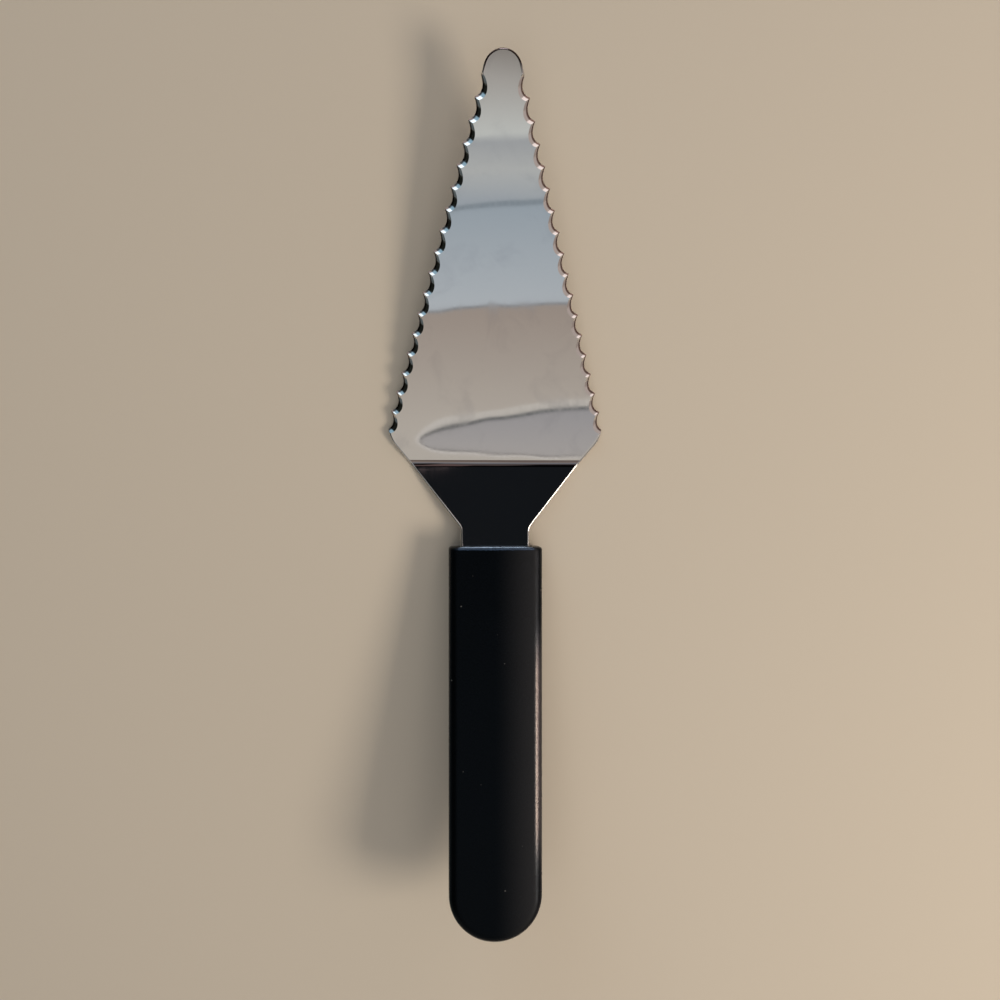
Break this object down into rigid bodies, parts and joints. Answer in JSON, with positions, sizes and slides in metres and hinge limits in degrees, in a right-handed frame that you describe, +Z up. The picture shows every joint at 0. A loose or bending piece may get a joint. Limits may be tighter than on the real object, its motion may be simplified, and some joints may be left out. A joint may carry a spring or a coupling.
{
  "type": "cake server",
  "caption": "Serrated cake server: a bent steel blade with scalloped edges and a round nose, moulded into a straight matte plastic handle.",
  "frame": {"origin": "middle of the part's box in X and Y, on the surface that the server lies on", "axes": "+Y from the handle to the blade's tip, +Z up, +X to the right of someone who looks from the handle to the tip"},
  "size_m": [0.0666, 0.2658, 0.0353],
  "materials": {
    "steel": "stainless sheet, polished flat faces with faint lengthwise brushing, ground hollow scallops",
    "handle_plastic": "black moulded plastic with a fine matte texture"
  },
  "bodies": {
    "root": {"blade": "steel", "handle": "handle_plastic"}
  },
  "joints": []
}
